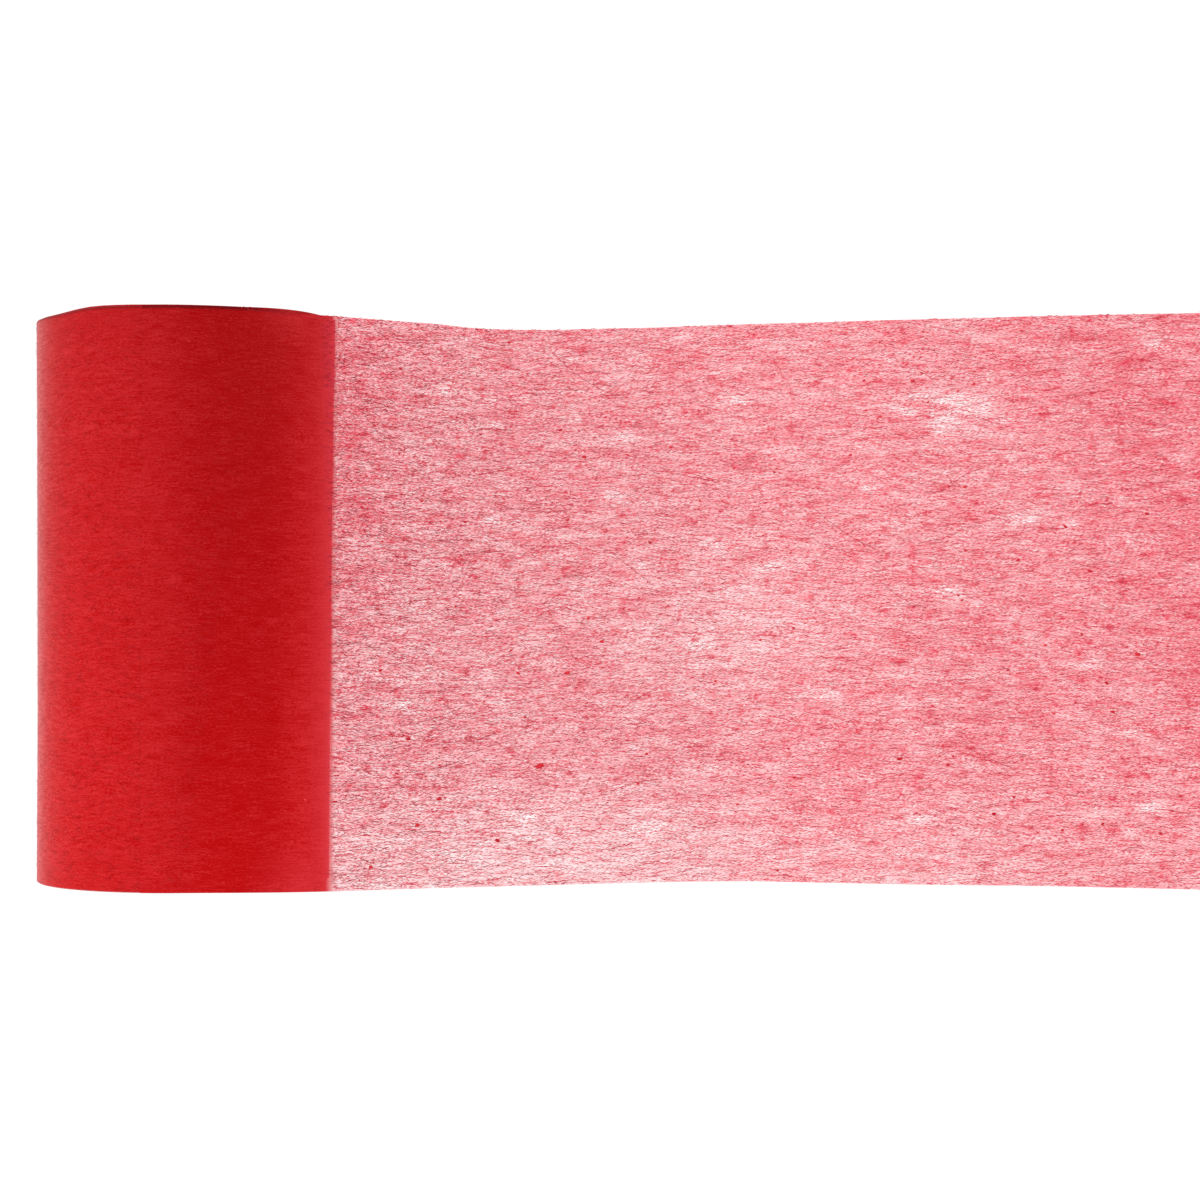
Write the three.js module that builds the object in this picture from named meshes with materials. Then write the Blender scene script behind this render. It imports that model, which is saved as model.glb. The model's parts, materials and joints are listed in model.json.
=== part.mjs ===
// Roll of non-woven ribbon standing on end, with its loose end drawn out to the right.
// Millimetres, +Z up. The roll's axis is at x = 0, y = 0 and its front faces -Y, until the last
// step moves the origin to the middle of the footprint.
import * as THREE from "three";
import { mergeVertices } from "three/addons/utils/BufferGeometryUtils.js";

// Ribbon
const RIBBON_WIDTH = 100;
const SHEET_THICKNESS = 1;
const CLEARANCE = 0.35;
const TURN_STEP = SHEET_THICKNESS + CLEARANCE;

// Wound roll
const ROLL_RADIUS = 26.1;
const EYE_RADIUS = 12.5;
const EDGE_ROUNDING = 0.5;
const EDGE_ROUNDING_STEPS = 2;
const ROLL_SIDES = 96;
const EYE_SIDES = 48;
const LEVELS = 12;

// The upper end of the roll sinks a little on the left, between these distances from the axis.
const UPPER_END_DROP = 0.8;
const DROP_STARTS = 12;
const DROP_ENDS = 22;

// The outer turn lies one sheet lower just past the place where the loose end leaves,
// and has climbed back to the full radius after this angle.
const CLIMB_ANGLE = THREE.MathUtils.degToRad(70);

// The line where the loose end leaves the roll, as an angle from the roll's front point.
// It starts near the front at the foot and swings to the right towards the top.
const LEAVING_ANGLE_FOOT = THREE.MathUtils.degToRad(4);
const LEAVING_ANGLE_TOP = THREE.MathUtils.degToRad(40);
const LEAVING_LINE_BEND = 1.7;

// Loose end
const COLUMNS_PER_STATION = 5;

// The roll is a little waisted and leans: outer radius and sideways shift of the axis
// against the height as a share of the ribbon's width.
const ROLL_SECTIONS = [
  { height: 0.0, radius: 25.95, shift: -0.35 },
  { height: 0.3, radius: 25.95, shift: -0.2 },
  { height: 0.6, radius: 26.15, shift: -0.05 },
  { height: 0.85, radius: 26.35, shift: 0.1 },
  { height: 1.0, radius: 26.55, shift: 0.2 },
];

// Where the loose end runs: x along it, y of its lower edge,
// and how far its upper edge leans back from the lower one.
const LOOSE_STATIONS = [
  { x: 20, foot: -24.6, lean: 7.4 },
  { x: 30, foot: -22.2, lean: 11.0 },
  { x: 42, foot: -18.2, lean: 13.8 },
  { x: 54, foot: -14.6, lean: 16.8 },
  { x: 68, foot: -10.8, lean: 16.0 },
  { x: 83, foot: -6.6, lean: 12.8 },
  { x: 97, foot: -4.2, lean: 9.2 },
  { x: 112, foot: -6.6, lean: 8.1 },
  { x: 126, foot: -9.8, lean: 7.4 },
  { x: 140, foot: -11.8, lean: 6.2 },
  { x: 154, foot: -14.0, lean: 5.2 },
  { x: 168, foot: -17.0, lean: 5.0 },
  { x: 180, foot: -20.4, lean: 5.4 },
  { x: 190, foot: -23.2, lean: 5.6 },
];

const RIBBON_RED = "#c8232b";
const SHEER_RED = "#e58792";

// Corners closer than this are one corner.
const SAME_CORNER = 1e-4;

// Value of one column of the roll's table at a height, straight between its rows.
function rollValue(column, height) {
  const share = THREE.MathUtils.clamp(height, 0, 1);
  const next = Math.max(1, ROLL_SECTIONS.findIndex((row) => row.height >= share));
  const low = ROLL_SECTIONS[next - 1];
  const high = ROLL_SECTIONS[next];
  const between = (share - low.height) / (high.height - low.height);
  return THREE.MathUtils.lerp(low[column], high[column], between);
}

function leavingAngle(height) {
  const swing = Math.pow(THREE.MathUtils.clamp(height, 0, 1), LEAVING_LINE_BEND);
  return THREE.MathUtils.lerp(LEAVING_ANGLE_FOOT, LEAVING_ANGLE_TOP, swing);
}

// Radius of the roll's outline at an angle past the leaving line, seen from above.
function outlineRadius(pastLeaving) {
  const climbed = THREE.MathUtils.smoothstep(pastLeaving, 0, CLIMB_ANGLE);
  return ROLL_RADIUS - TURN_STEP * (1 - climbed);
}

// The roll's section with the leaving line at its front point. The outline starts on the low
// side of the outer turn's step and goes once round to its high side.
function rollSection() {
  const outline = [];
  for (let i = 0; i <= ROLL_SIDES; i += 1) {
    const past = (i / ROLL_SIDES) * 2 * Math.PI;
    const radius = outlineRadius(past);
    outline.push(new THREE.Vector2(radius * Math.sin(past), -radius * Math.cos(past)));
  }
  const section = new THREE.Shape(outline);
  const eye = new THREE.Path();
  eye.absarc(0, 0, EYE_RADIUS, 0, 2 * Math.PI, true);
  section.holes.push(eye);
  return section;
}

// Joins the corners that faces share, so that the geometry is one closed body.
function closed(geometry) {
  geometry.deleteAttribute("normal");
  geometry.deleteAttribute("uv");
  const body = mergeVertices(geometry, SAME_CORNER);
  body.computeVertexNormals();
  return body;
}

// Turns every level of the section to the leaving line and gives it its own girth and shift.
function shapeRoll(geometry) {
  const points = geometry.attributes.position;
  const point = new THREE.Vector3();
  const axis = new THREE.Vector3(0, 0, 1);
  for (let i = 0; i < points.count; i += 1) {
    point.fromBufferAttribute(points, i);
    const height = point.z / RIBBON_WIDTH;
    const reach = Math.hypot(point.x, point.y);
    const outward = (reach - EYE_RADIUS) / (ROLL_RADIUS - EYE_RADIUS);
    const growth = outward * (rollValue("radius", height) - ROLL_RADIUS);
    const stretch = (reach + growth) / reach;
    point.x *= stretch;
    point.y *= stretch;
    point.applyAxisAngle(axis, leavingAngle(height));
    point.z -= UPPER_END_DROP * height * THREE.MathUtils.smoothstep(-point.x, DROP_STARTS, DROP_ENDS);
    point.x += rollValue("shift", height);
    points.setXYZ(i, point.x, point.y, point.z);
  }
}

function woundRoll() {
  const geometry = new THREE.ExtrudeGeometry(rollSection(), {
    depth: RIBBON_WIDTH - 2 * EDGE_ROUNDING,
    steps: LEVELS,
    curveSegments: EYE_SIDES / 2,
    bevelEnabled: true,
    bevelThickness: EDGE_ROUNDING,
    bevelSize: EDGE_ROUNDING,
    bevelOffset: -EDGE_ROUNDING,
    bevelSegments: EDGE_ROUNDING_STEPS,
  });
  geometry.translate(0, 0, EDGE_ROUNDING);
  shapeRoll(geometry);
  return closed(geometry);
}

// Middle of the sheet's start at a height share, one clearance off the outer turn's step.
function looseStart(height) {
  const angle = leavingAngle(height);
  const radius = rollValue("radius", height) - SHEET_THICKNESS / 2;
  const outward = new THREE.Vector3(Math.sin(angle), -Math.cos(angle), 0);
  const along = new THREE.Vector3(Math.cos(angle), Math.sin(angle), 0);
  return new THREE.Vector3(rollValue("shift", height), 0, height * RIBBON_WIDTH)
    .addScaledVector(outward, radius)
    .addScaledVector(along, CLEARANCE);
}

// The line along the loose end at a height share of its width.
function looseLine(height) {
  const points = [looseStart(height)];
  for (const { x, foot, lean } of LOOSE_STATIONS) {
    const upright = Math.sqrt(RIBBON_WIDTH ** 2 - lean ** 2);
    points.push(new THREE.Vector3(x, foot + lean * height, upright * height));
  }
  return new THREE.CatmullRomCurve3(points, false, "centripetal");
}

// A flat box of many cells, bent so that its length follows the lines and its depth their side.
function looseEnd() {
  const columns = LOOSE_STATIONS.length * COLUMNS_PER_STATION;
  const geometry = new THREE.BoxGeometry(1, SHEET_THICKNESS, 1, columns, 1, LEVELS);
  geometry.translate(0.5, 0, 0.5);
  const points = geometry.attributes.position;
  const lines = new Map();
  for (let i = 0; i < points.count; i += 1) {
    const row = Math.round(points.getZ(i) * LEVELS);
    if (!lines.has(row)) lines.set(row, looseLine(row / LEVELS));
    const share = THREE.MathUtils.clamp(points.getX(i), 0, 1);
    const place = lines.get(row).getPoint(share);
    const along = lines.get(row).getTangent(share).setZ(0).normalize();
    const inward = points.getY(i);
    points.setXYZ(i, place.x - along.y * inward, place.y + along.x * inward, place.z);
  }
  return closed(geometry);
}

function ribbonPiece(name, geometry, color) {
  const material = new THREE.MeshStandardMaterial({ color, roughness: 0.95, metalness: 0 });
  const mesh = new THREE.Mesh(geometry, material);
  mesh.name = name;
  return mesh;
}

const ribbon = new THREE.Group();
ribbon.add(ribbonPiece("wound_roll", woundRoll(), RIBBON_RED));
ribbon.add(ribbonPiece("loose_end", looseEnd(), SHEER_RED));

// The origin goes to the middle of the footprint, on the surface that the ribbon stands on.
const footprint = new THREE.Box3().setFromObject(ribbon);
const middle = footprint.getCenter(new THREE.Vector3());
ribbon.position.set(-middle.x, -middle.y, -footprint.min.z);

const part = new THREE.Group();
part.add(ribbon);

export default part;
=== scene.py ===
import json
import math

import bmesh
import bpy
import numpy as np
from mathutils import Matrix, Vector


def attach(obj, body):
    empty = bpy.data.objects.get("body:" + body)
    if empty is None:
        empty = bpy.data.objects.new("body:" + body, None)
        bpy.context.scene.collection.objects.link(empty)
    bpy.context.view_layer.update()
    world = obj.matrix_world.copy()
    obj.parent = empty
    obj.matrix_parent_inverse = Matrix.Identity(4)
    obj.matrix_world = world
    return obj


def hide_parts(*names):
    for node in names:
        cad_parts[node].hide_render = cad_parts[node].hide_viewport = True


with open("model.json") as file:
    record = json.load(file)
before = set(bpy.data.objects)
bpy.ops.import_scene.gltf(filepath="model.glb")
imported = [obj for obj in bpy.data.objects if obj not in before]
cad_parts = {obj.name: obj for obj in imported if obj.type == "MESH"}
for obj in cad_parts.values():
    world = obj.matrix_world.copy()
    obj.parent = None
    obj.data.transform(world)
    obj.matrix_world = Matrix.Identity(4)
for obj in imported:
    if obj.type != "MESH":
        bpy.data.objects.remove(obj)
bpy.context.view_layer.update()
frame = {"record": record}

MM = 0.001

# Ribbon
RIBBON_WIDTH = 100.0
TURN_PITCH = 0.172
CLOTH_THICKNESS = 0.13

# Wound roll
ROLL_RADIUS = 26.1
EYE_RADIUS = 12.5
RIM_ROUNDING = 0.3
UPPER_END_DROP = 0.8
DROP_STARTS = 12.0
DROP_ENDS = 22.0

# The line where the loose end leaves the roll, as an angle from the roll's front point.
LEAVING_ANGLE_FOOT = math.radians(4)
LEAVING_ANGLE_TOP = math.radians(40)
LEAVING_LINE_BEND = 1.7

# The roll's girth and lean: height share, outer radius, sideways shift of the axis.
ROLL_SECTIONS = np.array([
    (0.00, 25.95, -0.35),
    (0.30, 25.95, -0.20),
    (0.60, 26.15, -0.05),
    (0.85, 26.35, 0.10),
    (1.00, 26.55, 0.20),
])

# Where the loose end runs: x along it, y of its lower edge, how far its upper edge leans back.
LOOSE_STATIONS = np.array([
    (20.0, -24.6, 7.4),
    (30.0, -22.2, 11.0),
    (42.0, -18.2, 13.8),
    (54.0, -14.6, 16.8),
    (68.0, -10.8, 16.0),
    (83.0, -6.6, 12.8),
    (97.0, -4.2, 9.2),
    (112.0, -6.6, 8.1),
    (126.0, -9.8, 7.4),
    (140.0, -11.8, 6.2),
    (154.0, -14.0, 5.2),
    (168.0, -17.0, 5.0),
    (180.0, -20.4, 5.4),
    (190.0, -23.2, 5.6),
])

# The roll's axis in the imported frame, from the mount at its foot.
AXIS = np.array(frame["record"]["mounts"][0]["pos_m"]) / MM
AXIS_X = AXIS[0]


def smooth(value, low, high):
    """None at low, one at high, with an even curve between."""
    share = np.clip((value - low) / (high - low), 0, 1)
    return share * share * (3 - 2 * share)


def roll_radius(height):
    return np.interp(height, ROLL_SECTIONS[:, 0], ROLL_SECTIONS[:, 1])


def roll_shift(height):
    return np.interp(height, ROLL_SECTIONS[:, 0], ROLL_SECTIONS[:, 2])


def leaving_angle(height):
    swing = np.clip(height, 0, 1) ** LEAVING_LINE_BEND
    return LEAVING_ANGLE_FOOT + (LEAVING_ANGLE_TOP - LEAVING_ANGLE_FOOT) * swing


def on_roll(angle, height, radius):
    """Points at an angle from the roll's front point, anticlockwise seen from above."""
    x = radius * np.sin(angle)
    y = -radius * np.cos(angle)
    drop = UPPER_END_DROP * height * smooth(-x, DROP_STARTS, DROP_ENDS)
    z = RIBBON_WIDTH * height - drop
    return np.stack([x + roll_shift(height), y, z], axis=-1)


def spline(points, shares):
    """The curve through the points whose speed follows the root of their spacing."""
    ends = np.vstack([2 * points[0] - points[1], points, 2 * points[-1] - points[-2]])
    place = np.clip(shares, 0, 1) * (len(points) - 1)
    first = np.minimum(place.astype(int), len(points) - 2)
    t = (place - first)[:, None]
    a, b, c, d = (ends[first + i] for i in range(4))
    before, here, after = (
        np.sqrt(np.linalg.norm(q - p, axis=1))[:, None] for p, q in ((a, b), (b, c), (c, d))
    )
    start = (b - a) / before - (c - a) / (before + here) + (c - b) / here
    stop = (c - b) / here - (d - b) / (here + after) + (d - c) / after
    start, stop = start * here, stop * here
    square, cube = 3 * (c - b) - 2 * start - stop, 2 * (b - c) + start + stop
    return b + start * t + square * t**2 + cube * t**3


# The layer's own coordinates: how far along the cloth from the roll's front point, and the height
# share. The table holds where such points are, on the roll up to the leaving line and free after it.
LAYER_STARTS = -4.0
LAYER_ENDS = 198.0
TABLE_STEP = 0.5
TABLE_ROWS = 60
TABLE_ALONG = np.arange(LAYER_STARTS, LAYER_ENDS + TABLE_STEP / 2, TABLE_STEP)
LINE_POINTS = 1500
LAYER_LIFT = 0.05


def loose_line(height):
    angle, radius = leaving_angle(height), roll_radius(height)
    start = on_roll(angle, height, radius)
    start[2] = RIBBON_WIDTH * height
    x, foot, lean = LOOSE_STATIONS.T
    rest = np.stack([x, foot + lean * height, np.sqrt(RIBBON_WIDTH**2 - lean**2) * height], axis=-1)
    return np.vstack([start, rest])


def table_row(height):
    radius = roll_radius(height)
    line = spline(loose_line(height), np.linspace(0, 1, LINE_POINTS))
    run = np.concatenate([[0], np.cumsum(np.linalg.norm(np.diff(line, axis=0), axis=1))])
    leaves = leaving_angle(height) * radius
    drawn = (TABLE_ALONG - leaves) * run[-1] / (LAYER_ENDS - leaves)
    free = np.stack([np.interp(drawn, run, line[:, i]) for i in range(3)], axis=-1)
    wound = on_roll(TABLE_ALONG / radius, height, radius + LAYER_LIFT)
    middle = np.array([roll_shift(height), 0])
    away = free[:, :2] - middle
    reach = np.linalg.norm(away, axis=1, keepdims=True)
    free[:, :2] = middle + away * np.maximum(1, (radius + LAYER_LIFT) / reach)
    return np.where((TABLE_ALONG < leaves)[:, None], wound, free)


TABLE = np.stack([table_row(height) for height in np.linspace(0, 1, TABLE_ROWS + 1)])


def on_layer(along, height, lift=0.0):
    """Points of the loose layer, lifted off it towards the outside, and past its edges too."""
    column = (along - LAYER_STARTS) / TABLE_STEP
    row = height * TABLE_ROWS
    i = np.clip(row.astype(int), 0, TABLE_ROWS - 1)
    j = np.clip(column.astype(int), 0, len(TABLE_ALONG) - 2)
    a, b = (row - i)[..., None], (column - j)[..., None]
    p, q, r, s = TABLE[i, j], TABLE[i, j + 1], TABLE[i + 1, j], TABLE[i + 1, j + 1]
    place = (p * (1 - b) + q * b) * (1 - a) + (r * (1 - b) + s * b) * a
    out = np.cross(q - p, r - p)
    out /= np.linalg.norm(out, axis=-1, keepdims=True)
    return place + out * np.asarray(lift)[..., None]


def in_frame(points):
    moved = np.asarray(points, float) + [AXIS_X, 0, 0]
    return moved * MM


# Meshes
SHARP_ANGLE = math.radians(50)


def sheet_from_grid(name, columns, rows, place):
    """A flat grid bent so that its length and height follow place."""
    bpy.ops.object.select_all(action="DESELECT")
    bpy.ops.mesh.primitive_grid_add(x_subdivisions=columns, y_subdivisions=rows, size=1)
    piece = bpy.context.object
    piece.name = piece.data.name = name
    flat = np.empty(3 * len(piece.data.vertices))
    piece.data.vertices.foreach_get("co", flat)
    flat = flat.reshape(-1, 3) + 0.5
    piece.data.vertices.foreach_set("co", in_frame(place(flat[:, 0], flat[:, 1])).ravel())
    piece.data.uv_layers[0].name = "OFBake"
    piece.data.update()
    bpy.ops.object.shade_smooth_by_angle(angle=SHARP_ANGLE)
    return piece


def set_value(piece, name, values):
    """A number for each corner of the mesh, which the piece's material reads."""
    made = piece.data.attributes.new(name, "FLOAT", "POINT")
    made.data.foreach_set("value", np.asarray(values, np.float32))


# Wound turns: one long strip in a spiral, a little uneven at its edges.
TURNS = int((ROLL_RADIUS - EYE_RADIUS) / TURN_PITCH)
COLUMNS_A_TURN = 60
TURN_ROWS = np.array([0, 0.008, 0.5, 0.992, 1])
PITCHES_UNDER_WALL = 0.6

# How the strip's edges wander up and down: height, radians a turn, start.
EDGE_WAVES = (
    (0.16, 1.7, 0.0),
    (0.12, 4.3, 1.0),
    (0.10, 11.9, 2.0),
    (0.06, 6 * math.pi + 1.0, 0.0),
    (0.05, 10 * math.pi + 2.3, 0.0),
)

# The floor presses the lower edge nearly level: how it is raised, then the share that is left.
LOWER_EDGE_LIFT = 0.4
LOWER_EDGE_SHARE = 0.35

# The outermost turns have rounded rims, and this is how fast the rounding is lost inwards.
RIM_LOST_A_TURN = 0.8


def turn_place(share, across):
    turn = (1 - share) * TURNS
    back = turn * 2 * math.pi
    height = np.interp(across, np.linspace(0, 1, len(TURN_ROWS)), TURN_ROWS)
    reach = roll_radius(height) - TURN_PITCH * (turn + PITCHES_UNDER_WALL)
    points = on_roll(leaving_angle(height) - back, height, reach)
    upper_edge = sum(size * np.sin(turn * rate + start) for size, rate, start in EDGE_WAVES)
    lower_edge = LOWER_EDGE_SHARE * (LOWER_EDGE_LIFT + upper_edge)
    points[..., 2] += np.where(across > 0.5, upper_edge, 0) + np.where(across < 0.5, lower_edge, 0)
    rim = RIM_ROUNDING * np.exp(-turn * RIM_LOST_A_TURN)
    top_row, bottom_row = across > 0.99, across < 0.01
    points[..., 2] += np.where(top_row, -rim, 0) + np.where(bottom_row, rim, 0)
    return points


def make_wound_turns():
    piece = sheet_from_grid("wound_turns", TURNS * COLUMNS_A_TURN, len(TURN_ROWS) - 1, turn_place)
    thick = piece.modifiers.new("cloth", "SOLIDIFY")
    thick.thickness = CLOTH_THICKNESS * MM
    thick.offset = 0
    bpy.ops.object.modifier_apply(modifier=thick.name)
    return piece


# Outer turn: the wall of the roll that shows, its rims turned in.
OUTER_COLUMNS = 200
OUTER_ROWS = 48
ROWS_CROWDED = 0.35


def crowded_rows(rows):
    """Height shares that crowd together near both edges."""
    crowding = 1 - ROWS_CROWDED * np.sin(math.pi * rows) ** 2
    return 0.5 - 0.5 * np.cos(math.pi * rows) * crowding


def outer_place(share, across):
    height = crowded_rows(np.clip(across, 0, 1))
    from_edge = np.minimum(height, 1 - height) * RIBBON_WIDTH
    tuck = RIM_ROUNDING * (1 - np.sqrt(1 - np.clip(1 - from_edge / RIM_ROUNDING, 0, 1) ** 2))
    back = (1 - share) * 2 * math.pi
    reach = roll_radius(height) - tuck - TURN_PITCH * back / (2 * math.pi)
    return on_roll(leaving_angle(height) - back, height, reach)


def make_outer_turn():
    return sheet_from_grid("outer_turn", OUTER_COLUMNS, OUTER_ROWS, outer_place)


# Loose end: one sheer layer.
LOOSE_COLUMNS = 202
LOOSE_ROWS = 130

# Ripples of the free cloth start over this stretch of the layer. A narrow ripple's row is its
# height, radians a millimetre along, radians from edge to edge, and start. The broad one is the
# product of two waves.
RIPPLE_STARTS = (20.0, 45.0)
NARROW_RIPPLES = ((0.10, 0.23, 2.1, 0.0), (0.07, 0.41, 5.0, 1.0))
BROAD_RIPPLE = 0.16
BROAD_RATES = ((0.11, -7.0), (0.05, 9.0))


def layer_along(share):
    return LAYER_STARTS + share * (LAYER_ENDS - LAYER_STARTS)


def ripple(along, height):
    """Small waves of the free cloth, none where it lies on the roll."""
    narrow = sum(
        size * np.sin(along * rate + tilt * height + start) for size, rate, tilt, start in NARROW_RIPPLES
    )
    first, second = (np.sin(along * rate + tilt * height) for rate, tilt in BROAD_RATES)
    return smooth(along, *RIPPLE_STARTS) * (narrow + BROAD_RIPPLE * first * second)


def loose_place(share, across):
    along = layer_along(share)
    return on_layer(along, across, ripple(along, across))


# Thin places in the free layer, as they lie: along, height share, half length, half height.
THIN_PLACES = np.array([
    (143.2, 0.853, 3.6, 1.0), (146.8, 0.848, 2.6, 0.9), (145.0, 0.835, 4.0, 0.9), (149.0, 0.838, 1.8, 1.3),
    (142.0, 0.826, 2.6, 1.1), (141.2, 0.806, 2.2, 1.3), (138.0, 0.862, 2.4, 0.7), (134.5, 0.836, 2.4, 0.7),
    (152.5, 0.818, 1.6, 0.7), (155.5, 0.640, 2.6, 0.9), (163.0, 0.630, 2.0, 0.8), (179.0, 0.945, 2.6, 1.0),
    (142.5, 0.515, 3.0, 1.1), (84.0, 0.800, 2.8, 1.0), (82.0, 0.690, 2.0, 0.8), (59.5, 0.650, 2.0, 0.8),
    (42.5, 0.320, 2.4, 0.9), (60.5, 0.320, 2.2, 0.9), (64.0, 0.120, 3.2, 1.0), (176.5, 0.140, 2.6, 1.0),
    (165.5, 0.385, 2.2, 0.8), (136.0, 0.115, 2.6, 0.9), (173.5, 0.270, 2.0, 0.8), (87.0, 0.095, 2.6, 1.0),
    (100.0, 0.600, 2.2, 0.8), (110.0, 0.560, 2.2, 0.8), (96.0, 0.420, 2.4, 0.9), (120.0, 0.330, 2.2, 0.8),
    (76.0, 0.520, 2.0, 0.7), (52.0, 0.880, 2.4, 0.8), (128.0, 0.700, 2.0, 0.7), (105.0, 0.860, 2.2, 0.8),
])

# Broad tone of the free layer: along, height share, half length, half height, denser or thinner.
BROAD_PLACES = np.array([
    (62.0, 0.030, 55.0, 9.0, -0.20),
    (70.0, 0.130, 34.0, 8.0, -0.06),
    (100.0, 0.430, 24.0, 14.0, -0.07),
    (145.0, 0.850, 9.0, 7.0, -0.05),
    (30.0, 0.700, 12.0, 34.0, 0.07),
    (182.0, 0.650, 16.0, 40.0, 0.09),
    (165.0, 0.900, 18.0, 10.0, 0.05),
    (148.0, 0.430, 14.0, 16.0, 0.04),
    (120.0, 0.200, 20.0, 10.0, 0.03),
    (42.0, 0.450, 18.0, 15.0, -0.05),
    (106.0, 0.480, 14.0, 11.0, -0.06),
    (140.0, 0.030, 12.0, 5.0, -0.10),
    (155.0, 0.230, 11.0, 8.0, 0.04),
    (33.0, 0.930, 14.0, 8.0, 0.05),
])


# How the layer's looks change where it leaves the roll. A pair is the stretch of a change: gaps
# off the roll for FOOT_GAP, height shares for the two heights, and otherwise millimetres to the
# right of the roll's axis.
LIGHT_STARTS = 20.5
LIGHT_FULL = 28.7
FOOT_LIT = 0.28
FOOT_GAP = (2.0, 8.0)
FOOT_HEIGHT = (0.0, 0.12)
CROWN_LIT = 0.10
CROWN_STARTS = (12.0, 22.0)
CROWN_HEIGHT = (0.92, 1.0)
LAID_ENDS = (27.4, 29.2)
# Where the layer's dark line of painted shade along its upper edge fades out.
EDGE_LINE_ENDS = (14.0, 24.0)
# Where painted light on the strip beside the loose end starts.
LIT_FLANK_STARTS = (16.0, 24.0)
# Where painted shade in the band left of that strip starts.
SHADE_BAND_STARTS = (-4.0, 12.0)

# The fibres are crisp beside the roll and soften along the layer.
CRISP = 0.95
CRISP_LOST = 0.15
CRISP_SOFTENS = (35.0, 80.0)


def hump(along, height, at, level, long, tall):
    """One in the middle of a place on the layer, falling to nothing round it."""
    return np.exp(-(((along - at) / long) ** 2 + ((height - level) * RIBBON_WIDTH / tall) ** 2))


def thinness(along, height):
    return np.max([hump(along, height, *place) for place in THIN_PLACES], axis=0)


def broad_tone(along, height):
    return sum(amount * hump(along, height, *place) for *place, amount in BROAD_PLACES)


def lit_from_behind(x):
    """Share of the cloth's tone that comes from light behind it: none on the roll, all beyond it."""
    return np.clip((x - LIGHT_STARTS) / (LIGHT_FULL - LIGHT_STARTS), 0, 1) ** 3


def freedom(x, y, height):
    """Light from behind also shows at the layer's foot, off the roll, and at its upper edge."""
    gap = np.hypot(x, y) - roll_radius(height)
    foot = FOOT_LIT * smooth(gap, *FOOT_GAP) * (1 - smooth(height, *FOOT_HEIGHT))
    crown = CROWN_LIT * smooth(x, *CROWN_STARTS) * smooth(height, *CROWN_HEIGHT)
    return np.maximum(lit_from_behind(x), np.maximum(foot, crown))


def make_loose_end():
    piece = sheet_from_grid("loose_layer", LOOSE_COLUMNS, LOOSE_ROWS, loose_place)
    uv = np.empty(2 * len(piece.data.loops))
    piece.data.uv_layers[0].data.foreach_get("uv", uv)
    corner = np.empty(len(piece.data.loops), int)
    piece.data.loops.foreach_get("vertex_index", corner)
    shares = np.zeros((len(piece.data.vertices), 2))
    shares[corner] = uv.reshape(-1, 2)
    along, height = layer_along(shares[:, 0]), shares[:, 1]
    x, y, _ = on_layer(along, height).T
    lit_flank = smooth(x, *LIT_FLANK_STARTS)
    set_value(piece, "thin", thinness(along, height))
    set_value(piece, "broad", broad_tone(along, height))
    set_value(piece, "laid", 1 - smooth(x, *LAID_ENDS))
    # Where the dark line of painted shade along the upper edge is gone.
    set_value(piece, "bare", smooth(x, *EDGE_LINE_ENDS))
    # Painted light on the strip beside the loose end.
    set_value(piece, "lit_flank", lit_flank)
    # Painted shade in a band left of that strip.
    set_value(piece, "shade_band", smooth(x, *SHADE_BAND_STARTS) * (1 - lit_flank))
    set_value(piece, "free", freedom(x, y, height))
    set_value(piece, "crisp", CRISP - CRISP_LOST * smooth(along, *CRISP_SOFTENS))
    return piece


# Fibres: thin flat strands, each a crimped strip of its own, that follow the cloth under them.
# Each kind has how many, spread of directions in degrees, lengths, widths, distances off the cloth,
# and points in a strand. Sizes are in millimetres.
FIBRE_KINDS = {
    "short_fibres": (22000, 12, (0.4, 1.3), (0.065, 0.105), (0.03, 0.12), 5),
    "crimped_fibres": (20000, 12, (0.4, 1.3), (0.065, 0.105), (0.03, 0.12), 5),
    "long_fibres": (5500, 7, (1.8, 4.5), (0.06, 0.10), (0.03, 0.10), 10),
    "stray_fibres": (40, 24, (5.0, 16.0), (0.07, 0.12), (0.06, 0.16), 36),
    "edge_fibres": (420, 15, (0.4, 1.1), (0.05, 0.10), (-0.08, 0.08), 6),
    "roll_fuzz": (14000, 20, (0.5, 1.9), (0.05, 0.09), (0.03, 0.06), 5),
}

# Crimp of a fibre: the length and depth of its waves, where they start, how much it bends, and
# how much thinner its ends are.
CRIMP_LENGTHS = (0.8, 1.8)
CRIMP_DEPTHS = (0.03, 0.12)
CRIMP_STARTS = (0, 6.28)
BEND = 0.02
TAPER = 0.5

# Fibres grow paler along the layer. They count as free a little nearer the roll than the cloth does.
TONE_LOST = 0.32
TONE_SOFTENS = (35.0, 90.0)
FREE_AHEAD = 1.5

# No fibre goes through the floor.
FLOOR_GAP = 0.02


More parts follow.
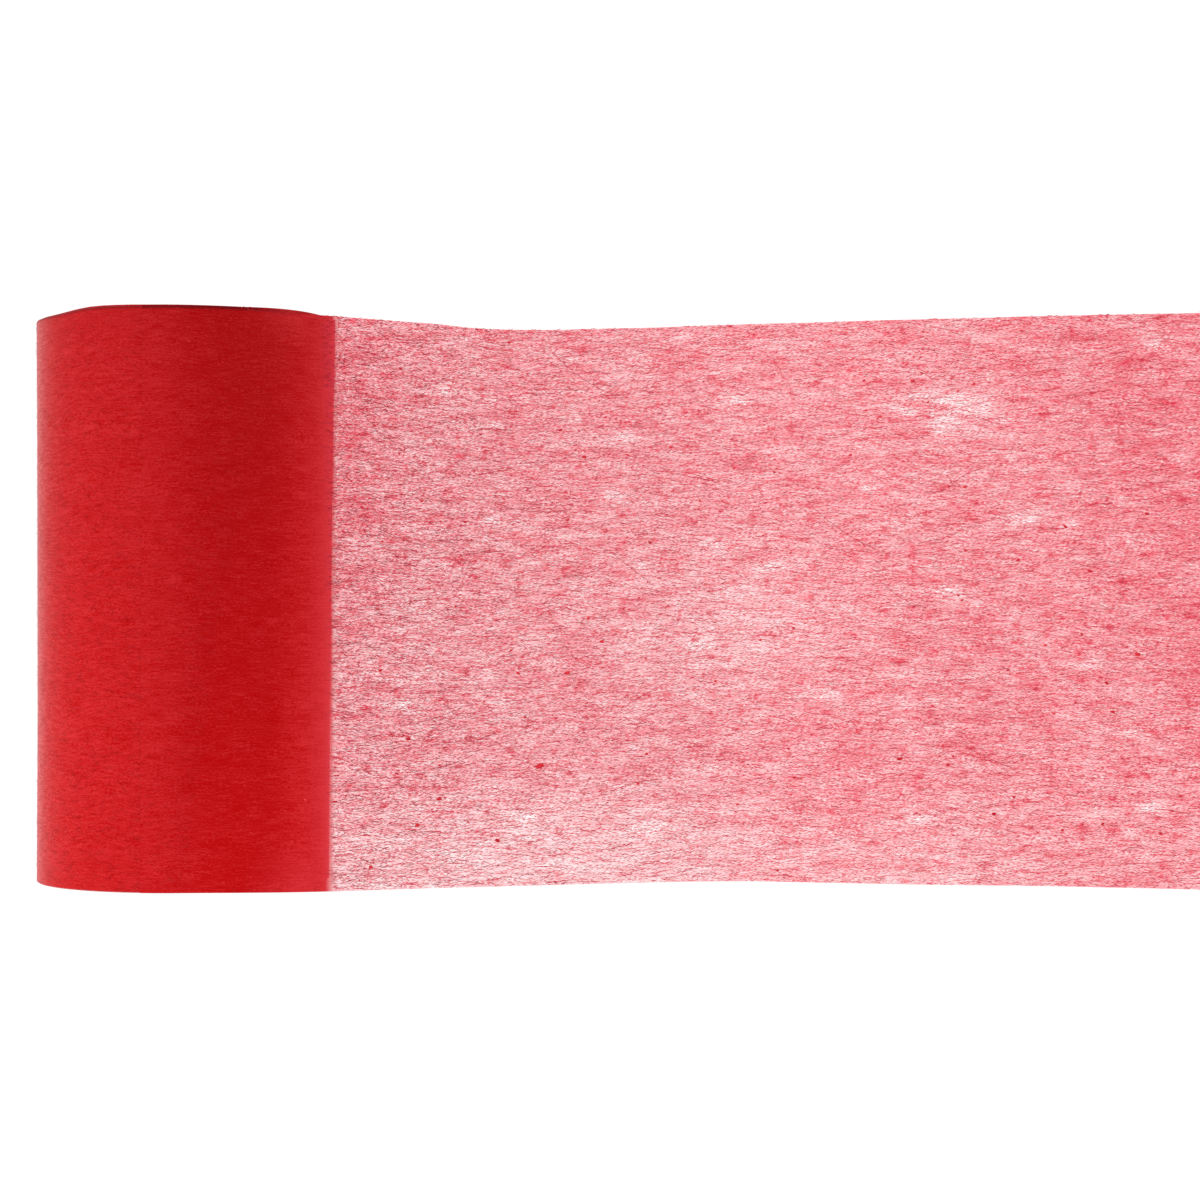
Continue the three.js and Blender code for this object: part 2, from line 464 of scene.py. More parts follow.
def strands_on(name, place, along, up, slope, length, width, lift, rise, points, seed, palest=0.0):
    """One strand for each along and up in millimetres. Its ends stand off the cloth by rise."""
    rng = np.random.default_rng(seed)
    count = len(along)
    share = np.linspace(-1, 1, points)
    run = length[:, None] / 2 * share
    wave = rng.uniform(*CRIMP_LENGTHS, (count, 1))
    depth = rng.uniform(*CRIMP_DEPTHS, (count, 1))
    bend = rng.normal(0, BEND, (count, 1))
    begin = rng.uniform(*CRIMP_STARTS, (count, 1))
    side = depth * np.sin(2 * math.pi * run / wave + begin) + bend * run**2
    turn = slope[:, None]
    s = along[:, None] + np.cos(turn) * run - np.sin(turn) * side
    t = up[:, None] + np.sin(turn) * run + np.cos(turn) * side
    ds, dt = np.gradient(s, axis=1), np.gradient(t, axis=1)
    size = np.hypot(ds, dt)
    half = width[:, None] / 2 * (1 - TAPER * share**4) / size
    off = lift[:, None] + rise[:, None] * share**2
    upper = place(s - dt * half, t + ds * half, off)
    lower = place(s + dt * half, t - ds * half, off)
    corners = in_frame(np.stack([lower, upper], axis=2).reshape(-1, 3))
    corners[:, 2] = np.maximum(corners[:, 2], FLOOR_GAP * MM)
    first = (np.arange(count)[:, None] * points + np.arange(points - 1)) * 2
    quads = np.stack([first, first + 2, first + 3, first + 1], axis=-1).reshape(-1, 4)
    piece = mesh_piece(name, corners, quads)
    softer = 1 - TONE_LOST * smooth(along, *TONE_SOFTENS)
    tone = 1 - (1 - rng.uniform(palest, 1, count)) * softer
    set_value(piece, "tone", np.repeat(tone, points * 2))
    set_value(piece, "free", lit_from_behind(corners[:, 0] / MM - AXIS_X + FREE_AHEAD))
    return piece


def mesh_piece(name, corners, faces):
    mesh = bpy.data.meshes.new(name)
    mesh.vertices.add(len(corners))
    mesh.vertices.foreach_set("co", corners.ravel())
    mesh.loops.add(faces.size)
    mesh.loops.foreach_set("vertex_index", faces.ravel())
    mesh.polygons.add(len(faces))
    mesh.polygons.foreach_set("loop_start", np.arange(len(faces)) * faces.shape[1])
    mesh.update(calc_edges=True)
    piece = bpy.data.objects.new(name, mesh)
    bpy.context.scene.collection.objects.link(piece)
    return piece


def over_layer(along, up, lift):
    height = up / RIBBON_WIDTH
    return on_layer(along, height, ripple(along, height) + lift)


def over_roll(along, up, lift):
    height = up / RIBBON_WIDTH
    return on_roll(along / roll_radius(height), height, roll_radius(height) + lift)


# Fibres are strewn evenly by two steps that never fall into a pattern, with a little shake upwards.
STRANDS_START = 29.0
STRANDS_END = LAYER_ENDS - 3
ALONG_STEP = 0.7548776662
UP_STEP = 0.5698402910
SEED_STEP = 0.31
SHAKE = 0.12
LOWEST = 0.3
HIGHEST = RIBBON_WIDTH - 0.3

# Most fibres lie on the outer face. Short ones are a little longer than the shortest.
OUTER_SHARE = 0.85
USUAL_EXTRA_LENGTH = 0.28

# Stray fibres: where they begin, how far most reach along, where none lies, where those go.
STRAYS_START = 38
STRAYS_REACH = 55
STRAYS_END = LAYER_ENDS - 12
STRAYS_INSTEAD = (40, 120)
STRAY_MARGIN = 2

# Fuzz of the roll, in millimetres round it from its front point and off its ends.
FUZZ_ROUND = (-160, 24)
FUZZ_MARGIN = 0.2
FUZZ_RISE = (0.0, 0.12)

# Fibre ends at the layer's edges: where along, which share is at the upper one, how high.
EDGE_ALONG = (12, LAYER_ENDS - 1)
UPPER_EDGE_SHARE = 0.7
UPPER_EDGE_BAND = (-0.5, 0.05)
LOWER_EDGE_BAND = (0.1, 0.6)


def scatter(count, near_share, near_spread, seed):
    """Evenly strewn places on the free layer, some of them crowded beside the roll."""
    rng = np.random.default_rng(seed)
    step = np.arange(count) + SEED_STEP * seed
    along = STRANDS_START + (STRANDS_END - STRANDS_START) * ((0.5 + step * ALONG_STEP) % 1)
    up = LOWEST + (HIGHEST - LOWEST) * ((0.5 + step * UP_STEP) % 1)
    near = STRANDS_START + rng.exponential(near_spread, count)
    crowded = (rng.random(count) < near_share) & (near < STRANDS_END)
    shaken = np.clip(up + rng.normal(0, SHAKE, count), LOWEST, HIGHEST)
    return np.where(crowded, near, along), shaken


def lift_mostly_out(rng, count, low, high):
    """Distances off the cloth, most of them on its outer face."""
    return np.where(rng.random(count) < OUTER_SHARE, 1.0, -1.0) * rng.uniform(low, high, count)


def directions(rng, count, spread):
    """Angles off the ribbon's length, spread in degrees."""
    return rng.normal(0, math.radians(spread), count)


def make_short_strands(name, seed):
    count, spread, lengths, widths, lifts, points = FIBRE_KINDS[name]
    rng = np.random.default_rng(seed)
    along, up = scatter(count, near_share=0.16, near_spread=40, seed=seed + 1)
    slope = directions(rng, count, spread)
    length = np.clip(rng.exponential(USUAL_EXTRA_LENGTH, count) + lengths[0], *lengths)
    width = rng.uniform(*widths, count)
    lift = lift_mostly_out(rng, count, *lifts)
    return strands_on(name, over_layer, along, up, slope, length, width, lift,
                      rise=lift * 0.5, points=points, seed=seed + 2)


def make_long_strands(name):
    count, spread, lengths, widths, lifts, points = FIBRE_KINDS[name]
    rng = np.random.default_rng(55)
    along, up = scatter(count, near_share=0.15, near_spread=45, seed=54)
    slope = directions(rng, count, spread)
    length = rng.uniform(*lengths, count)
    width = rng.uniform(*widths, count)
    lift = lift_mostly_out(rng, count, *lifts)
    return strands_on(name, over_layer, along, up, slope, length, width, lift,
                      rise=lift * 0.3, points=points, seed=56, palest=0.4)


def make_stray_strands(name):
    """Long fibres that stray over the loose layer."""
    count, spread, lengths, widths, lifts, points = FIBRE_KINDS[name]
    rng = np.random.default_rng(15)
    along = STRAYS_START + rng.exponential(STRAYS_REACH, count)
    along = np.where(along > STRAYS_END, rng.uniform(*STRAYS_INSTEAD, count), along)
    up = rng.uniform(STRAY_MARGIN, RIBBON_WIDTH - STRAY_MARGIN, count)
    slope = directions(rng, count, spread)
    length = rng.uniform(*lengths, count)
    width = rng.uniform(*widths, count)
    lift = rng.uniform(*lifts, count)
    return strands_on(name, over_layer, along, up, slope, length, width, lift,
                      rise=lift * 0.3, points=points, seed=16, palest=0.3)


def make_edge_fibres(name):
    """Fibre ends along the upper and lower edges of the loose layer."""
    count, spread, lengths, widths, lifts, points = FIBRE_KINDS[name]
    rng = np.random.default_rng(35)
    along = rng.uniform(*EDGE_ALONG, count)
    upper = rng.random(count) < UPPER_EDGE_SHARE
    at_top = RIBBON_WIDTH + rng.uniform(*UPPER_EDGE_BAND, count)
    up = np.where(upper, at_top, rng.uniform(*LOWER_EDGE_BAND, count))
    slope = directions(rng, count, spread)
    length = rng.uniform(*lengths, count)
    width = rng.uniform(*widths, count)
    lift = rng.uniform(*lifts, count)
    return strands_on(name, over_layer, along, up, slope, length, width, lift,
                      rise=lift, points=points, seed=36)


def make_roll_fuzz(name):
    """Short fibres that stand off the outer turn."""
    count, spread, lengths, widths, lifts, points = FIBRE_KINDS[name]
    rng = np.random.default_rng(25)
    along = rng.uniform(*FUZZ_ROUND, count)
    up = rng.uniform(FUZZ_MARGIN, RIBBON_WIDTH - FUZZ_MARGIN, count)
    slope = directions(rng, count, spread)
    length = rng.uniform(*lengths, count)
    width = rng.uniform(*widths, count)
    lift = rng.uniform(*lifts, count)
    rise = rng.uniform(*FUZZ_RISE, count)
    return strands_on(name, over_roll, along, up, slope, length, width, lift,
                      rise=rise, points=points, seed=26)


# Neps: small knots of fibre, the largest where they lie: along, height share, half length.
NEPS = np.array([
    (67.0, 0.210, 0.55), (48.5, 0.155, 0.40), (44.5, 0.110, 0.35), (43.0, 0.260, 0.35),
    (59.0, 0.080, 0.35), (72.5, 0.375, 0.35), (63.5, 0.375, 0.30), (79.0, 0.430, 0.30),
    (36.0, 0.040, 0.30), (38.0, 0.380, 0.30), (85.0, 0.175, 0.25), (174.5, 0.405, 0.40),
    (169.0, 0.355, 0.30), (170.0, 0.305, 0.35), (178.0, 0.095, 0.30), (149.0, 0.125, 0.30),
    (152.5, 0.155, 0.25), (141.0, 0.210, 0.30), (168.0, 0.110, 0.25), (132.5, 0.220, 0.35),
    (181.5, 0.160, 0.25), (38.0, 0.810, 0.25), (77.0, 0.765, 0.30), (73.5, 0.650, 0.25),
    (54.5, 0.645, 0.25), (46.5, 0.680, 0.25), (43.5, 0.915, 0.25), (73.0, 0.815, 0.25),
    (136.5, 0.890, 0.30), (176.5, 0.650, 0.30), (145.0, 0.700, 0.25), (166.5, 0.550, 0.30),
    (154.0, 0.570, 0.25),
])

# The small ones are strewn: how many, from where along, at which height shares, how large.
SMALL_NEPS = 90
SMALL_NEPS_START = 22
SMALL_NEP_HEIGHTS = (0.02, 0.98)
SMALL_NEP_SIZES = (0.12, 0.25)

# A nep's half length, half height and half depth against its size, and how it is laid.
NEP_SHAPE = (1.35, 0.80, 0.4)
LUMPINESS = 0.25
NEP_TURN = 0.5
NEP_LIFT = 0.05


def make_neps():
    rng = np.random.default_rng(45)
    small = np.stack([
        rng.uniform(SMALL_NEPS_START, STRANDS_END, SMALL_NEPS),
        rng.uniform(*SMALL_NEP_HEIGHTS, SMALL_NEPS),
        rng.uniform(*SMALL_NEP_SIZES, SMALL_NEPS),
    ], axis=1)
    spots = np.vstack([NEPS, small])
    knot = bmesh.new()
    bmesh.ops.create_icosphere(knot, subdivisions=2, radius=1)
    ball = np.array([corner.co for corner in knot.verts])
    sides = np.array([[corner.index for corner in face.verts] for face in knot.faces])
    knot.free()
    lumps = ball[None] * (1 + rng.uniform(-LUMPINESS, LUMPINESS, (len(spots), len(ball), 1)))
    turn = rng.uniform(-NEP_TURN, NEP_TURN, (len(spots), 1))
    long, tall, deep = (lumps[..., i] * spots[:, 2:3] * share for i, share in enumerate(NEP_SHAPE))
    along = spots[:, 0:1] + np.cos(turn) * long - np.sin(turn) * tall
    up = spots[:, 1:2] * RIBBON_WIDTH + np.sin(turn) * long + np.cos(turn) * tall
    corners = in_frame(over_layer(along, up, deep + NEP_LIFT).reshape(-1, 3))
    faces = (np.arange(len(spots))[:, None, None] * len(ball) + sides).reshape(-1, 3)
    piece = mesh_piece("neps", corners, faces)
    bpy.context.view_layer.objects.active = piece
    piece.data.shade_smooth()
    set_value(piece, "tone", np.repeat(rng.random(len(spots)), len(ball)))
    return piece


# Materials
CLOTH_ROUGHNESS = 0.9
USUAL_SHINE = 0.15
DULL_SHINE = 0.05
FUZZ_ROUGHNESS = 0.35


def node(tree, kind, sockets=(), **settings):
    made = tree.nodes.new(kind)
    for name, value in settings.items():
        setattr(made, name, value)
    for name, value in dict(sockets).items():
        if isinstance(value, bpy.types.NodeSocket):
            tree.links.new(value, made.inputs[name])
        else:
            made.inputs[name].default_value = value
    return made


def maths(tree, operation, first, second=0.0, third=0.0, clamp=False):
    sockets = {0: first, 1: second, 2: third}
    return node(tree, "ShaderNodeMath", sockets, operation=operation, use_clamp=clamp).outputs[0]


def mapped(tree, place, scale, location, turn=0.0):
    sockets = {"Vector": place, "Scale": scale, "Location": location, "Rotation": (0, 0, turn)}
    return node(tree, "ShaderNodeMapping", sockets).outputs[0]


def noise(tree, place, scale, detail=1.0, rough=0.5, offset=0.0):
    spot = mapped(tree, place, (*scale, 1), (offset, offset * 0.7, 0))
    sockets = {"Vector": spot, "Scale": 1.0, "Detail": detail, "Roughness": rough}
    return node(tree, "ShaderNodeTexNoise", sockets, noise_dimensions="2D").outputs["Fac"]


def between(tree, value, low, high, to_low=0.0, to_high=1.0):
    sockets = {0: value, 1: low, 2: high, 3: to_low, 4: to_high}
    return node(tree, "ShaderNodeMapRange", sockets, interpolation_type="SMOOTHSTEP").outputs[0]


def mixed(tree, share, first, second):
    made = node(tree, "ShaderNodeMix", data_type="RGBA")
    tree.links.new(share, made.inputs[0])
    for socket, value in ((made.inputs[6], first), (made.inputs[7], second)):
        if isinstance(value, bpy.types.NodeSocket):
            tree.links.new(value, socket)
        else:
            socket.default_value = (*value, 1)
    return made.outputs[2]


def centred(tree, value, middle, reach):
    return maths(tree, "MULTIPLY", maths(tree, "SUBTRACT", value, middle), reach)


def attribute(tree, name):
    return node(tree, "ShaderNodeAttribute", attribute_name=name).outputs["Fac"]


def baked_map(tree):
    return node(tree, "ShaderNodeUVMap", uv_map="OFBake").outputs[0]


# The web's noises, in changes a millimetre along the ribbon and across it.
WANDER_RATE = (0.1, 0.25)
WANDER_REACH = 1.6
CRIMP_RATE = (1.4, 1.8)
CRIMP_REACH = 0.26
GRAIN_RATE = (1.7, 7.5)
STREAK_RATE = (0.35, 4.5)
STREAK_SHARE = 0.5
CLOUD_RATE = (0.10, 0.42)
SPOT_RATE = (0.38, 0.65)

# Its strands: turn in degrees, cells a millimetre along and across, full within, gone from, place.
FIRST_STRANDS = (3, (1.0, 6.2), 0.08, 0.38, 11)
SECOND_STRANDS = (-4, (0.75, 5.2), 0.05, 0.32, 23)
GAP_STRANDS = (1, (0.8, 6.2), 0.1, 0.40, 51)


def strands(tree, place, turn, scale, inner, outer, offset):
    """Short thin strands along the cloth: long narrow cells, full in their middles."""
    laid = mapped(tree, place, (*scale, 1), (offset, offset, 0), math.radians(turn))
    sockets = {"Vector": laid, "Scale": 1.0, "Randomness": 1.0}
    cells = node(tree, "ShaderNodeTexVoronoi", sockets, voronoi_dimensions="2D", feature="F1")
    return between(tree, cells.outputs["Distance"], inner, outer, 1.0, 0.0)


def web_group():
    """The cloth's fibre web in millimetres along and across: how dense it is, and its fibres."""
    group = bpy.data.node_groups.new("fibre web", "ShaderNodeTree")
    group.interface.new_socket("Place", in_out="INPUT", socket_type="NodeSocketVector")
    for name in ("Fine", "Fibres", "Gaps", "Clouds", "Spots"):
        group.interface.new_socket(name, in_out="OUTPUT", socket_type="NodeSocketFloat")
    source = group.nodes.new("NodeGroupInput").outputs["Place"]
    wander = centred(group, noise(group, source, WANDER_RATE, detail=0), 0.5, WANDER_REACH)
    crimp = centred(group, noise(group, source, CRIMP_RATE, detail=0, offset=5), 0.5, CRIMP_REACH)
    shift = node(group, "ShaderNodeCombineXYZ", {1: maths(group, "ADD", wander, crimp)}).outputs[0]
    place = node(group, "ShaderNodeVectorMath", {0: source, 1: shift}, operation="ADD").outputs[0]
    grain = noise(group, place, GRAIN_RATE, detail=1, rough=0.8)
    streaks = noise(group, place, STREAK_RATE, detail=0, offset=9)
    fine = maths(group, "MULTIPLY_ADD", streaks, STREAK_SHARE, grain)
    first, second = (strands(group, place, *laid) for laid in (FIRST_STRANDS, SECOND_STRANDS))
    parts = {
        "Fine": maths(group, "SUBTRACT", fine, STREAK_SHARE / 2),
        "Fibres": maths(group, "MAXIMUM", first, second),
        "Gaps": strands(group, place, *GAP_STRANDS),
        "Clouds": noise(group, source, CLOUD_RATE, detail=2, rough=0.6, offset=3),
        "Spots": noise(group, source, SPOT_RATE, detail=1, rough=0.4, offset=17),
    }
    made = group.nodes.new("NodeGroupOutput")
    for name, value in parts.items():
        group.links.new(value, made.inputs[name])
    return group


def cloth_place(tree, starts, long):
    """The piece's map in millimetres along and across the ribbon."""
    return mapped(tree, baked_map(tree), (long, RIBBON_WIDTH, 1), (starts, 0, 0))


def new_material(name):
    material = bpy.data.materials.new(name)
    material.use_nodes = True
    tree = material.node_tree
    tree.nodes.clear()
    shader = node(tree, "ShaderNodeBsdfPrincipled", {
        "Roughness": CLOTH_ROUGHNESS, "Specular IOR Level": USUAL_SHINE,
    })
    node(tree, "ShaderNodeOutputMaterial", {"Surface": shader.outputs[0]})
    return material, tree, shader


def web(tree, group, place):
    made = node(tree, "ShaderNodeGroup", node_tree=group)
    tree.links.new(place, made.inputs["Place"])
    return made.outputs


# Colours
FIBRE_RED = (0.34, 0.012, 0.030)
HAZE_RED = (0.93, 0.061, 0.114)
DENSE_RED = (0.72, 0.036, 0.076)
ROSE_RED = (0.73, 0.050, 0.066)
FELT_DEEP = (0.362, 0.0004, 0.0012)
FELT_BRIGHT = (0.466, 0.0148, 0.0182)
# Painted shade: the dark line along the upper edges of the roll and the layer.
PAINTED_EDGE_SHADE = (0.076, 0.0030, 0.0045)
SHEEN_TINT = (1.0, 0.75, 0.75, 1)
STUDIO_WHITE = (1, 1, 1, 1)

# A fibre's deepest and palest colour: where light comes through the layer, on the roll, in a nep.
FIBRES_LIT = ((0.28, 0.012, 0.028), (0.74, 0.046, 0.086))
FIBRES_WOUND = ((0.385, 0.002, 0.004), (0.52, 0.018, 0.022))
NEPS_LIT = ((0.50, 0.016, 0.028), (0.74, 0.040, 0.056))

# The wound cloth's tone: how much clouds and grain count, how much painted light from the floor
# brightens it at the foot, what of that is lost towards its upper edge, and the range of its pale fuzz.
WOUND_CLOUDS = 0.25
WOUND_GRAIN = 0.75
WOUND_RANGE = (0.25, 0.75)
FLOOR_LIGHT_AT_FOOT = 1.22
FLOOR_LIGHT_LOST_UPWARDS = -0.28
FUZZ_GRAIN = (0.3, 0.7)
FUZZ_SHEEN = (0.38, 0.76)
FIBRE_SHEEN = 0.6

# The dark line of painted shade along the upper edges: height shares where it starts and is full,
# and its strength.
OUTER_EDGE_LINE = (0.958, 0.990, 0.74)
LAYER_EDGE_LINE = (0.9915, 0.9985, 0.78)

# What the web's parts add to the free layer's density, which is from about 0 to 1.
DENSITY = 0.675
GRAIN_ADDS = 0.87
CLOUDS_ADD = 0.42
FIBRES_ADD = 0.20
GAPS_ADD = -0.10
SPOTS_ADD = 0.17
SPOT_RANGE = (0.58, 0.82)
WORN_GRAIN = 0.9
WORN = -0.70

# How that density covers what is behind the layer, and from where to where it turns denser red.
COVER_RANGE = (0.0, 1.15)
COVER = (0.05, 0.98)
DENSE_RANGE = (0.45, 1.25)

# How dark the web's fibres are, and where the layer lies on the roll, the painted light on a strip
# beside the loose end and the painted shade in a band left of it.
DARK_FIBRES = 0.55
DARK_FIBRES_LOST_ON_ROLL = -0.40
FLANK_PAINTED_LIGHT = 0.11
BAND_PAINTED_SHADE = 0.16

# Relief of the wound cloth, its depth in millimetres, and specks on the edges of the turns.
RELIEF_STRENGTH = 0.3
RELIEF_DEPTH = 0.1
SPECK_RATE = (2.5, 2.5)
SPECK_RANGE = (0.3, 0.7)


def wound_tone(tree, parts, edge_from, edge_full, edge_share, painted_light=0.0, painted_shade=0.0):
    """Streaks of cloth lying turn on turn, with painted light and shade, and where its painted dark edge
    line isn't.
    """
    tone = maths(tree, "MULTIPLY", parts["Clouds"], WOUND_CLOUDS)
    tone = maths(tree, "SUBTRACT", maths(tree, "MULTIPLY_ADD", parts["Fine"], WOUND_GRAIN, tone), painted_shade)
    height = node(tree, "ShaderNodeSeparateXYZ", {0: baked_map(tree)}).outputs[1]
    # A dark line of painted shade along the upper edge.
    edge = maths(tree, "MULTIPLY", between(tree, height, edge_from, edge_full), edge_share)
    felt = mixed(tree, between(tree, tone, *WOUND_RANGE), FELT_DEEP, FELT_BRIGHT)
    # Painted light from the floor: the cloth is painted brighter towards its foot.
    shade = maths(tree, "ADD", maths(tree, "MULTIPLY_ADD", height, FLOOR_LIGHT_LOST_UPWARDS, FLOOR_LIGHT_AT_FOOT), painted_light)
    felt = node(tree, "ShaderNodeHueSaturation", {"Value": shade, "Color": felt}).outputs[0]
    return mixed(tree, edge, felt, PAINTED_EDGE_SHADE), maths(tree, "SUBTRACT", 1.0, edge)


def make_dull(shader, sheen=0.0):
    shader.inputs["Sheen Weight"].default_value = sheen
    shader.inputs["Sheen Roughness"].default_value = FUZZ_ROUGHNESS
    shader.inputs["Sheen Tint"].default_value = SHEEN_TINT
    shader.inputs["Specular IOR Level"].default_value = DULL_SHINE


def add_fuzz(tree, shader, parts, *shares):
    """Pale fuzz that shows where the wound cloth is seen edge on."""
    fuzz = between(tree, parts["Fine"], *FUZZ_GRAIN, *FUZZ_SHEEN)
    for share in shares:
        fuzz = maths(tree, "MULTIPLY", fuzz, share)
    make_dull(shader)
    tree.links.new(fuzz, shader.inputs["Sheen Weight"])


def sheer_material(group):
    material, tree, shader = new_material("sheer single layer")
    parts = web(tree, group, cloth_place(tree, LAYER_STARTS, LAYER_ENDS - LAYER_STARTS))
    names = ("thin", "laid", "free", "crisp", "broad", "bare", "lit_flank", "shade_band")
    thin, laid, free, crisp, broad, bare, lit_flank, shade_band = (attribute(tree, name) for name in names)
    clouds = centred(tree, parts["Clouds"], 0.5, CLOUDS_ADD)
    worn = maths(tree, "MULTIPLY", thin, maths(tree, "MULTIPLY_ADD", parts["Fine"], WORN_GRAIN, WORN))
    dense = maths(tree, "ADD", maths(tree, "ADD", clouds, broad), worn)
    grain = centred(tree, parts["Fine"], 0.5, crisp)
    haze = maths(tree, "ADD", maths(tree, "MULTIPLY_ADD", grain, GRAIN_ADDS, DENSITY), dense)
    fibres, gaps = (maths(tree, "MULTIPLY", parts[name], crisp) for name in ("Fibres", "Gaps"))
    spots = between(tree, parts["Spots"], *SPOT_RANGE)
    for part, adds in ((fibres, FIBRES_ADD), (gaps, GAPS_ADD), (spots, SPOTS_ADD)):
        haze = maths(tree, "MULTIPLY_ADD", part, adds, haze)
    cover = maths(tree, "MAXIMUM", between(tree, haze, *COVER_RANGE, *COVER), laid, clamp=True)
    lit = mixed(tree, between(tree, haze, *DENSE_RANGE), HAZE_RED, DENSE_RED)
    lit = mixed(tree, laid, lit, ROSE_RED)
    dark_share = maths(tree, "MULTIPLY_ADD", laid, DARK_FIBRES_LOST_ON_ROLL, DARK_FIBRES)
    lit = mixed(tree, maths(tree, "MULTIPLY", fibres, dark_share), lit, FIBRE_RED)
    # The layer's dark line of painted shade along its upper edge fades out towards the loose end.
    line_from, line_full, line_share = LAYER_EDGE_LINE
    line = maths(tree, "MULTIPLY_ADD", bare, -line_share, line_share)
    # Painted light brightens the strip beside the loose end.
    painted_light = maths(tree, "MULTIPLY", lit_flank, FLANK_PAINTED_LIGHT)
    # Painted shade darkens the band left of that strip.
    painted_shade = maths(tree, "MULTIPLY", shade_band, BAND_PAINTED_SHADE)
    wound, face = wound_tone(tree, parts, line_from, line_full, line, painted_light, painted_shade)
    tree.links.new(mixed(tree, free, wound, lit), shader.inputs["Base Color"])
    tree.links.new(cover, shader.inputs["Alpha"])
    add_fuzz(tree, shader, parts, laid, face)
    return material


def felt_material(group):
    material, tree, shader = new_material("wound cloth")
    turn = 2 * math.pi * ROLL_RADIUS
    parts = web(tree, group, cloth_place(tree, -turn, turn))
    wound, face = wound_tone(tree, parts, *OUTER_EDGE_LINE)
    tree.links.new(wound, shader.inputs["Base Color"])
    relief = node(tree, "ShaderNodeBump", {
        "Strength": RELIEF_STRENGTH, "Distance": RELIEF_DEPTH * MM, "Height": parts["Fine"],
    })
    tree.links.new(relief.outputs[0], shader.inputs["Normal"])
    add_fuzz(tree, shader, parts, face)
    return material


def fibre_material(name, sheen=0.0):
    """Separate fibres: deep red on the roll, dark to rosy where the light comes through the layer."""
    material, tree, shader = new_material(name)
    tone = attribute(tree, "tone")
    wound, lit = (mixed(tree, tone, *shades) for shades in (FIBRES_WOUND, FIBRES_LIT))
    tree.links.new(mixed(tree, attribute(tree, "free"), wound, lit), shader.inputs["Base Color"])
    make_dull(shader, sheen)
    return material


def nep_material():
    material, tree, shader = new_material("knots of fibre")
    tree.links.new(mixed(tree, attribute(tree, "tone"), *NEPS_LIT), shader.inputs["Base Color"])
    make_dull(shader)
    return material


def turns_material():
    material, tree, shader = new_material("edges of the turns")
    metres = node(tree, "ShaderNodeTexCoord").outputs["Object"]
    place = node(tree, "ShaderNodeVectorMath", {0: metres, 3: 1 / MM}, operation="SCALE").outputs[0]
    speck = between(tree, noise(tree, place, SPECK_RATE, detail=3, rough=0.6), *SPECK_RANGE)
    tree.links.new(mixed(tree, speck, FELT_DEEP, FELT_BRIGHT), shader.inputs["Base Color"])
    return material


# Studio
CAMERA_HEIGHT = 49.9
CAMERA_RIGHT = 74.0
CAMERA_AWAY = 536.4
LENS = 90.0
SENSOR = 36.0
NEAREST_SEEN = 0.01

# Softboxes: place, size, watts. They face the middle of the roll.
LEFT_SOFTBOX = ((-435, -250, 200), 400, 1.55)
RIGHT_SOFTBOX = ((480, 120, 200), 400, 1.2)
LAMPS_AIM = (0, 0, 50)
WORLD_LIGHT = 0.92
MOST_BOUNCES = 4

# Sweep, in metres
SWEEP_WIDTH = 4.0
SWEEP_FRONT = 1.0
SWEEP_FLAT = 1.5
SWEEP_BEND = 0.4
SWEEP_LENGTH = 3.6
SWEEP_ROWS = 40
SWEEP_GLOW = 0.97
SWEEP_GREYS = ((0.06, 0.06, 0.06), (0.08, 0.08, 0.08))


def make_camera():
    bpy.ops.object.camera_add(rotation=(math.radians(90), 0, 0))
    camera = bpy.context.object
    camera.location = in_frame((CAMERA_RIGHT, -CAMERA_AWAY, CAMERA_HEIGHT))
    camera.data.lens = LENS
    camera.data.sensor_width = SENSOR
    camera.data.clip_start = NEAREST_SEEN
    bpy.context.scene.camera = camera


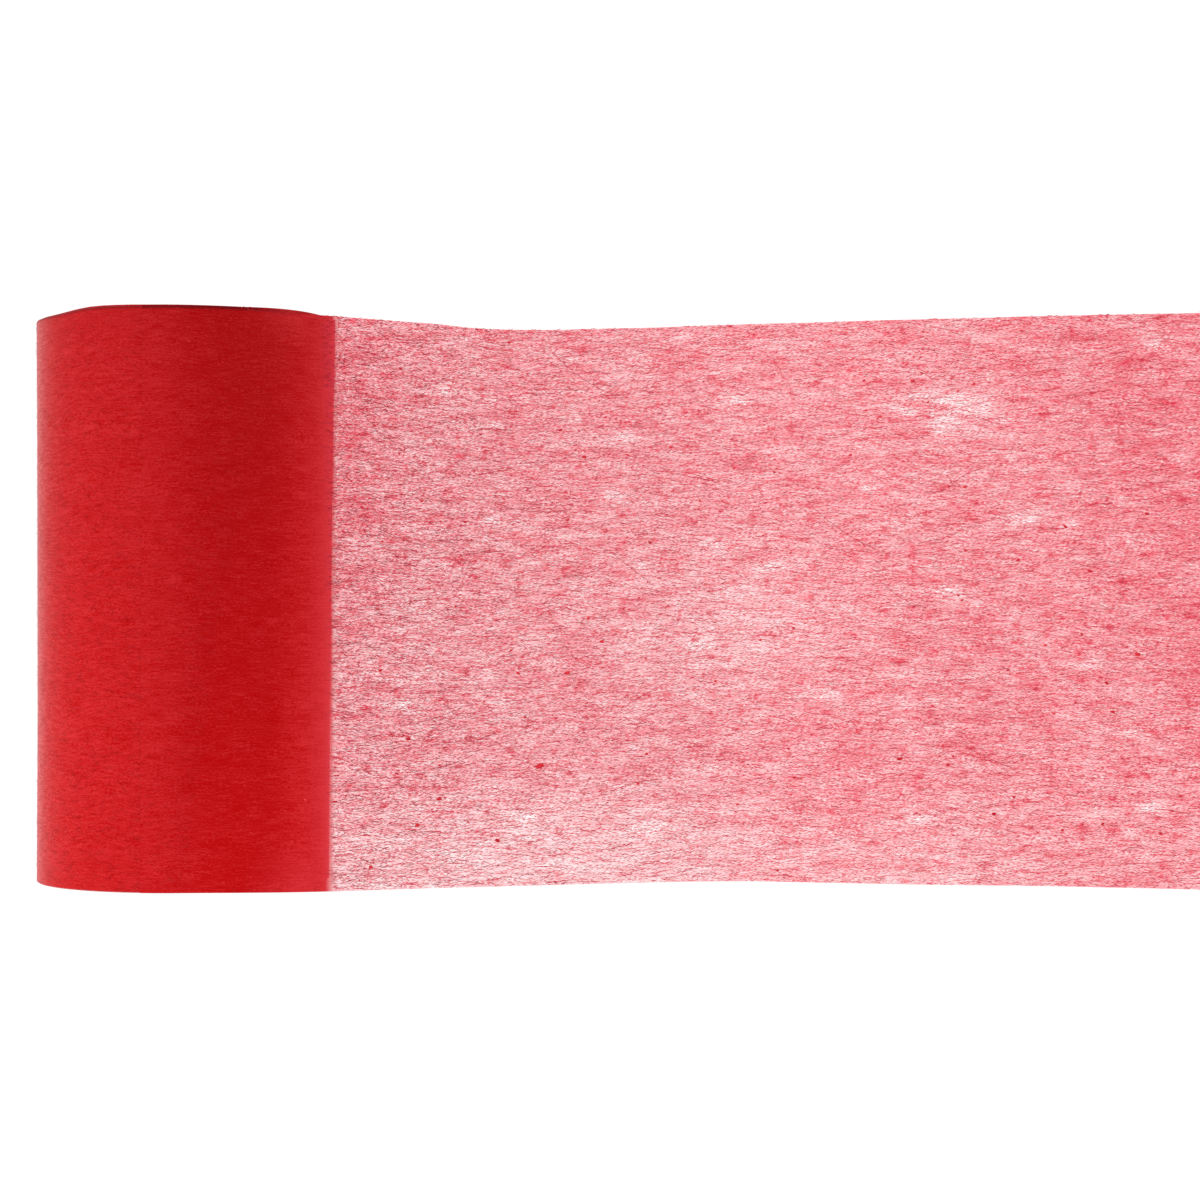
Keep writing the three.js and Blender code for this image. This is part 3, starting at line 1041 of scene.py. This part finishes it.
def make_sweep():
    """Pale floor that curves up into the backdrop, of white acrylic lit from behind."""
    bpy.ops.object.select_all(action="DESELECT")
    bpy.ops.mesh.primitive_grid_add(x_subdivisions=2, y_subdivisions=SWEEP_ROWS, size=1)
    sweep = bpy.context.object
    sweep.name = "studio sweep"
    flat = np.empty(3 * len(sweep.data.vertices))
    sweep.data.vertices.foreach_get("co", flat)
    flat = flat.reshape(-1, 3)
    run = (flat[:, 1] + 0.5) * SWEEP_LENGTH
    turned = np.clip((run - SWEEP_FLAT) / SWEEP_BEND, 0, math.pi / 2)
    risen = np.maximum(run - SWEEP_FLAT - SWEEP_BEND * math.pi / 2, 0)
    y = np.minimum(run, SWEEP_FLAT) + SWEEP_BEND * np.sin(turned) - SWEEP_FRONT
    z = SWEEP_BEND * (1 - np.cos(turned)) + risen
    sweep.data.vertices.foreach_set("co", np.stack([flat[:, 0] * SWEEP_WIDTH, y, z], axis=1).ravel())
    bpy.ops.object.shade_smooth()
    material, tree, shader = new_material("studio white")
    grain = noise(tree, node(tree, "ShaderNodeTexCoord").outputs["Object"], scale=(3, 3))
    tree.links.new(mixed(tree, grain, *SWEEP_GREYS), shader.inputs["Base Color"])
    shader.inputs["Emission Color"].default_value = STUDIO_WHITE
    shader.inputs["Emission Strength"].default_value = SWEEP_GLOW
    sweep.data.materials.append(material)


def make_light(name, place, size, power):
    bpy.ops.object.light_add(type="AREA", location=in_frame(place))
    lamp = bpy.context.object
    lamp.name = name
    lamp.data.size = size * MM
    lamp.data.energy = power
    away = lamp.location - Vector(in_frame(LAMPS_AIM))
    lamp.rotation_euler = away.to_track_quat("Z", "Y").to_euler()


def make_world():
    world = bpy.data.worlds.new("studio")
    bpy.context.scene.world = world
    world.use_nodes = True
    back = world.node_tree.nodes.get("Background") or world.node_tree.nodes.new("ShaderNodeBackground")
    back.inputs["Color"].default_value = STUDIO_WHITE
    back.inputs["Strength"].default_value = WORLD_LIGHT


bpy.context.scene.view_settings.view_transform = "Standard"
make_camera()
make_sweep()
make_world()
make_light("left softbox", *LEFT_SOFTBOX)
make_light("right softbox", *RIGHT_SOFTBOX)
bpy.context.scene.cycles.max_bounces = MOST_BOUNCES
bpy.context.scene.cycles.use_light_tree = False

web_nodes = web_group()
wound_turns = make_wound_turns()
outer_turn = make_outer_turn()
loose_layer = make_loose_end()
layer_fibres = [
    make_short_strands("short_fibres", seed=5),
    make_short_strands("crimped_fibres", seed=65),
    make_long_strands("long_fibres"),
    make_stray_strands("stray_fibres"),
    make_edge_fibres("edge_fibres"),
]
neps = make_neps()
roll_fuzz = make_roll_fuzz("roll_fuzz")

wound_turns.data.materials.append(turns_material())
outer_turn.data.materials.append(felt_material(web_nodes))
loose_layer.data.materials.append(sheer_material(web_nodes))
layer_red = fibre_material("fibres of the layer")
for piece in layer_fibres:
    piece.data.materials.append(layer_red)
roll_fuzz.data.materials.append(fibre_material("fibres on the roll", FIBRE_SHEEN))
neps.data.materials.append(nep_material())
layer_fibres.append(neps)

for pieces, replaced, finish in (
    ([wound_turns, outer_turn, roll_fuzz], "wound_roll", "wound_cloth"),
    ([loose_layer] + layer_fibres, "loose_end", "single_layer"),
):
    for piece in pieces:
        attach(piece, "root")
        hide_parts(replaced)
